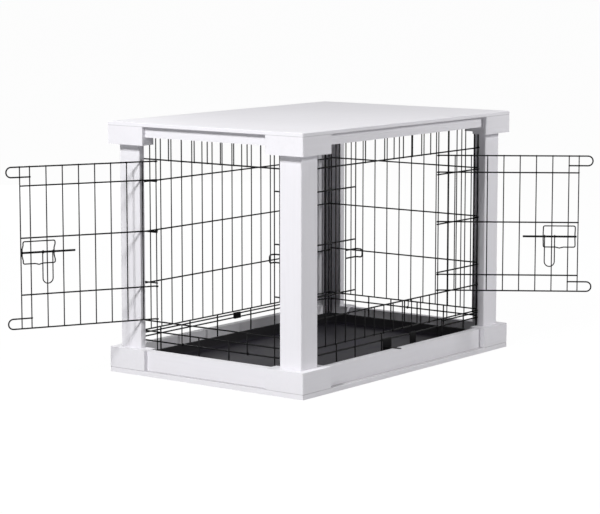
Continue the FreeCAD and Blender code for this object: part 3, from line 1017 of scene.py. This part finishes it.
    def _end(self) -> WireWork:
        """Return the short end with a doorway."""
        side, doorway, last = self.side(-1, 0), self.end_doorway, self.width - self.corner
        places = self.fills(self.end_margin, last, self.end_pitch)
        levels = (doorway.head, doorway.sill, doorway.guard, self.end_low)
        bars, uprights = self._frame(self.corner, last, levels, self.end_feet, doorway.guard)
        near = self._beside(places, doorway, (self.corner, last))
        hangers, rings = self._hangers(side, self.end_hangers, self.end_low, doorway.sill)
        return WireWork("end_wires", "end_wire_panel", "table", side, bars + near[0],
                        uprights + near[1] + hangers, rings=rings)

    def _back(self) -> WireWork:
        """Return the closed long side."""
        places = self.fills(self.back_margin, self.length, self.pitch)
        levels = (*self.back_levels, self.guard, *self.back_low)
        bars, uprights = self._frame(0.0, self.length, levels, self.back_feet, self.guard)
        return WireWork("back_wires", "back_wire_panel", "table", self.side(0, 1), bars,
                        uprights + self._thin(places, self.guard, self.top))

    def _far(self) -> WireWork:
        """Return the closed short end."""
        side, last = self.side(1, 0), self.width - self.corner
        places = self.fills(self.far_margin, last, self.far_pitch)
        levels = (*self.far_levels, self.guard, self.far_low)
        bars, uprights = self._frame(self.corner, last, levels, self.far_feet, self.guard)
        hangers, rings = self._hangers(side, self.far_hangers, self.far_low, self.guard)
        return WireWork("far_wires", "far_end_wire_panel", "table", side, bars,
                        uprights + self._thin(places, self.guard, self.top) + hangers, rings=rings)

    def _lying(self, name: str, node: str, level: float, out: float) -> WireWork:
        """Return a lying grid.

        Args:
            name: The piece's name.
            node: The node that it stands for.
            level: The height of its thin wires.
            out: 1 where the thin wires lie over the bars, and -1 where they lie under them.

        Returns:
            The grid.
        """
        inset = self.step + 2 * self.stout + self.grid_gap
        length, width = self.length - 2 * inset, self.width - 2 * inset
        start = Vector((-length / 2, -width / 2, level))
        face = Face(start, Vector((1.0, 0.0, 0.0)), Vector((0.0, 1.0, 0.0)), Vector((0.0, 0.0, out)))
        count = int(length // self.pitch)
        first = (length - count * self.pitch) / 2
        bars = [Bar(0.0, length, width * k / self.grid_spans) for k in range(self.grid_spans + 1)]
        thin = self._thin([first + self.pitch * k for k in range(count + 1)], 0.0, width)
        return WireWork(name, node, "table", face, bars, thin)

    def _roof(self) -> WireWork:
        """Return the roof, whose bars lie over its thin wires."""
        return self._lying("roof_wires", "roof_wire_panel", self.top, -1.0)

    def _floor(self) -> WireWork:
        """Return the floor grid, whose bars lie under its thin wires."""
        level = self.floor + self.stout + self.thin - self.weld_sink
        return self._lying("floor_wires", "floor_wire_grid", level, 1.0)


@dataclass
class Door:
    """A welded door, open at rest, with its bolt, guide, handle and keeper."""

    name: str
    steel: bpy.types.Material
    side: Face
    latch: float
    hinge: float
    turn: float
    levels: tuple[float, ...]
    first: float
    bolt_level: float
    keeper_levels: tuple[float, float]
    pitch: float = 40.3
    last_step: float = 24.5
    fill_count: int = 8
    stout: float = 1.8
    thin: float = 1.4
    layer: float = 4.0
    step: float = 3.16
    eye_inner: float = 1.48
    eye_outer: float = 3.88
    hoop_reach: float = 34.0
    hoop_height: float = 24.0
    hoop_return: float = 26.0
    bolt_layer: float = 13.44
    guide_radius: float = 1.5
    guide_ends: tuple[float, float] = (85.5, 6.5)
    guide_height: float = 53.0
    guide_layers: tuple[float, float] = (10.02, 17.74)
    guide_neck: float = 9.0
    guide_notch: Triple = (40.0, 10.0, 2.5)
    guide_rise: float = 0.5
    guide_bend: float = 3.6
    guide_steps: int = 4
    handle_back: float = 82.0
    handle_width: float = 25.0
    handle_drop: float = 76.0
    handle_bore: float = 2.58
    handle_wall: float = 1.6
    keeper_out: float = 21.0
    keeper_reach: float = 42.5
    keeper_gap: float = 2.0
    keeper_bend: float = 6.0

    def build(self) -> None:
        """Make the wire work and dress the rod."""
        self._welded().build(self.steel)
        for name, body, strands, rings in (
                ("bolt_guide", "door", [self._guide()], []),
                ("bolt_handle", "handle", [self._handle()], self._handle_eyes()),
                ("bolt_keeper", "", [self._keeper()], [])):
            work = WireMesh(WireMesh.FINE_SIDES)
            for strand in strands:
                work.tube(strand)
            for ring in rings:
                work.ring(ring)
            rides = self.name + "_" + body if body else "table"
            piece = add_piece(f"{self.name}_{name}_wire", work.mesh, rides, self.steel)
            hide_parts(f"{self.name}_{name}")
        dress([self.name + "_bolt"], self.steel)

    @property
    def fills(self) -> list[float]:
        """Where the thin uprights stand along the door."""
        places = [self.first + self.pitch * k for k in range(self.fill_count)]
        return places + [places[-1] + self.last_step]

    @property
    def face(self) -> Face:
        """The frame of the open door: u runs from its hinge."""
        turn = Matrix.Rotation(math.radians(self.turn), 3, "Z")
        return Face(self.side.at(self.hinge, 0.0, 0.0), turn @ -self.side.along, self.side.rise,
                    turn @ self.side.out)

    def _eye(self, level: float) -> Ring:
        """Return the curl round the hinge jamb at a level."""
        return Ring(self.face.at(0.0, 0.0, level), self.face.rise, self.eye_inner, self.eye_outer,
                    2 * self.stout)

    def _welded(self) -> WireWork:
        """Return the welded door with its hoops and curls."""
        face, fills = self.face, self.fills
        top, bottom = self.levels[0], self.levels[-1]
        last = fills[-1]
        strands = []
        backs = []
        for level, back in ((top, top - self.hoop_height), (bottom, bottom + self.hoop_height)):
            corners = [face.at(u, self.layer, v) for u, v in (
                (0.0, level), (last + self.hoop_reach, level), (last + self.hoop_reach, back),
                (last - self.hoop_return, back))]
            strands.append(Strand(bent_path(corners, self.hoop_height / 2), self.stout))
            backs += [Bar(0.0, last, level), Bar(last - self.hoop_return, last, back)]
        bars = [Bar(0.0, last, level) for level in self.levels[1:-1]]
        thin = [Upright(u, bottom - self.stout, top + self.stout, self.thin) for u in fills]
        return WireWork(self.name + "_door_wires", self.name + "_door", self.name + "_door", face, bars,
                        thin, self.layer + self.step, strands=strands,
                        rings=[self._eye(level) for level in self.levels], welded_only=backs)

    def _guide(self) -> Strand:
        """Return the oblong guide that steps out over the rod at both ends."""
        last, level = self.fills[-1], self.bolt_level
        middle = level + self.guide_rise
        low, high = middle - self.guide_height / 2, middle + self.guide_height / 2
        near, neck = self.guide_layers
        inner, outer = last - self.guide_ends[0], last - self.guide_ends[1]
        steps = [(near, high), (near, level + 2 * self.guide_neck), (neck, level + self.guide_neck),
                 (neck, level - self.guide_neck), (near, level - 2 * self.guide_neck), (near, low)]
        offset, width, depth = self.guide_notch
        notch = inner + offset
        points = [self.face.at(outer, n, v) for n, v in steps]
        points += [self.face.at(notch + width, near, low), self.face.at(notch, near, low - depth),
                   self.face.at(notch - width, near, low)]
        points += [self.face.at(inner, n, v) for n, v in reversed(steps)]
        path = bent_path(points, self.guide_bend, True, self.guide_steps)
        return Strand(path, self.guide_radius, True)

    def _handle_ends(self) -> tuple[float, float]:
        """Return where the handle's two legs hang."""
        inner = self.fills[-1] - self.handle_back
        return inner, inner + self.handle_width

    def _handle(self) -> Strand:
        """Return the hanging finger loop."""
        inner, outer = self._handle_ends()
        layer = self.bolt_layer + self.handle_bore + self.thin
        low = self.bolt_level - self.handle_drop
        corners = [self.face.at(u, layer, v) for u, v in (
            (inner, self.bolt_level), (inner, low), (outer, low), (outer, self.bolt_level))]
        return Strand(bent_path(corners, self.handle_width / 2), self.thin)

    def _handle_eyes(self) -> list[Ring]:
        """Return the curls that hold the handle on the rod."""
        return [Ring(self.face.at(u, self.bolt_layer, self.bolt_level), self.face.along,
                     self.handle_bore, self.handle_bore + self.handle_wall, 2 * self.thin)
                for u in self._handle_ends()]

    def _keeper(self) -> Strand:
        """Return the loop beside the latch jamb that takes the rod."""
        start, turn = self.latch - self.keeper_reach, self.latch - self.keeper_gap
        low, high = self.keeper_levels
        corners = [self.side.at(u, n, v) for u, n, v in (
            (start, self.step, high), (turn, self.step, high), (turn, self.keeper_out, high),
            (turn, self.keeper_out, low), (turn, self.step, low), (start, self.step, low))]
        return Strand(bent_path(corners, self.keeper_bend), self.stout)


# --- studio --------------------------------------------------------------------
@dataclass(frozen=True)
class Lamp:
    """A square soft lamp that looks at one point."""

    name: str
    place: Triple
    aim: Triple
    watts: float
    width: float

    def build(self) -> None:
        """Add the lamp."""
        data = bpy.data.lights.new(self.name, "AREA")
        data.energy = self.watts
        data.size = self.width
        lamp = bpy.data.objects.new(self.name, data)
        lamp.location = self.place
        lamp.rotation_mode = "QUATERNION"
        ray = Vector(self.aim) - Vector(self.place)
        lamp.rotation_quaternion = ray.to_track_quat("-Z", "Y")
        bpy.context.scene.collection.objects.link(lamp)
        log.info("lit with %s at %.0f W", self.name, self.watts)


@dataclass
class Studio:
    """The white sweep, the lamps and the camera."""

    focal_pixels: float = 2227.0
    image_width: float = 600.0
    sensor: float = 36.0
    yaw: float = 37.25
    pitch: float = 7.90
    stand: Triple = (-4.404, -3.303, 1.021)
    ambient: float = 0.05
    floor_half: float = 60.0
    floor_cells: int = 8
    lamps: tuple[Lamp, ...] = (
        Lamp("left_lamp", (-3.9, -0.25, 3.2), (-0.42, 0.0, 0.35), 210.0, 0.9),
        Lamp("right_lamp", (1.7, -2.8, 1.8), (0.15, -0.3, 0.42), 60.0, 0.7),
        Lamp("top_lamp", (-0.75, -0.45, 2.3), (-0.15, -0.1, 0.61), 4.8, 0.7),
        Lamp("back_lamp", (2.6, 3.4, 0.55), (0.1, 0.1, 0.3), 40.0, 1.2),
    )

    def build(self) -> None:
        """Set up the floor, the light and the camera."""
        self._floor()
        self._world()
        for lamp in self.lamps:
            lamp.build()
        self._camera()

    def _floor(self) -> None:
        """Lay the sweep under the table."""
        mesh = bmesh.new()
        bmesh.ops.create_grid(mesh, x_segments=self.floor_cells, y_segments=self.floor_cells,
                              size=self.floor_half)
        data = bpy.data.meshes.new("floor")
        mesh.to_mesh(data)
        mesh.free()
        data.materials.append(StudioSweep().build())
        floor = bpy.data.objects.new("floor", data)
        bpy.context.scene.collection.objects.link(floor)

    def _world(self) -> None:
        """Light evenly, and show white to the camera."""
        world = bpy.data.worlds.new("studio")
        bpy.context.scene.world = world
        world.use_nodes = True
        graph = Graph(world.node_tree)
        seen = seen_ray(graph)
        strength = seen + (1.0 - seen) * self.ambient
        light = graph.node("ShaderNodeBackground", {}, {"Color": (1.0, 1.0, 1.0, 1.0), "Strength": strength})
        graph.node("ShaderNodeOutputWorld", {}, {"Surface": light.outputs[0]})

    def _camera(self) -> None:
        """Stand the camera where the picture was taken from."""
        data = bpy.data.cameras.new("camera")
        data.sensor_width = self.sensor
        data.lens = self.focal_pixels / self.image_width * self.sensor
        turn, dip = math.radians(self.yaw), math.radians(self.pitch)
        ahead = Vector((math.cos(turn) * math.cos(dip), math.sin(turn) * math.cos(dip), -math.sin(dip)))
        camera = bpy.data.objects.new("camera", data)
        camera.location = self.stand
        camera.rotation_mode = "QUATERNION"
        camera.rotation_quaternion = ahead.to_track_quat("-Z", "Y")
        bpy.context.scene.collection.objects.link(camera)
        bpy.context.scene.camera = camera


def main() -> None:
    """Build and dress the table, the crate and the studio."""
    logging.basicConfig(level=logging.INFO, format="%(message)s")
    bpy.context.scene.view_settings.view_transform = "Standard"
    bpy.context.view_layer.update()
    steel = CoatedSteel("coated_wire").build()
    WoodenTable().build()
    crate = WireCrate(steel)
    crate.build()
    Door("front", steel, crate.side(0, -1), latch=226.0, hinge=578.0, turn=123.8,
         levels=(510.5, 468.7, 344.6, 211.7, 171.8), first=41.0, bolt_level=308.0,
         keeper_levels=(296.5, 315.5)).build()
    Door("end", steel, crate.side(-1, 0), latch=67.45, hinge=427.0, turn=-117.6,
         levels=(515.0, 470.3, 347.4, 212.6, 132.6), first=32.0, bolt_level=311.0,
         keeper_levels=(302.0, 321.0)).build()
    Studio().build()


if __name__ == "__main__":
    main()
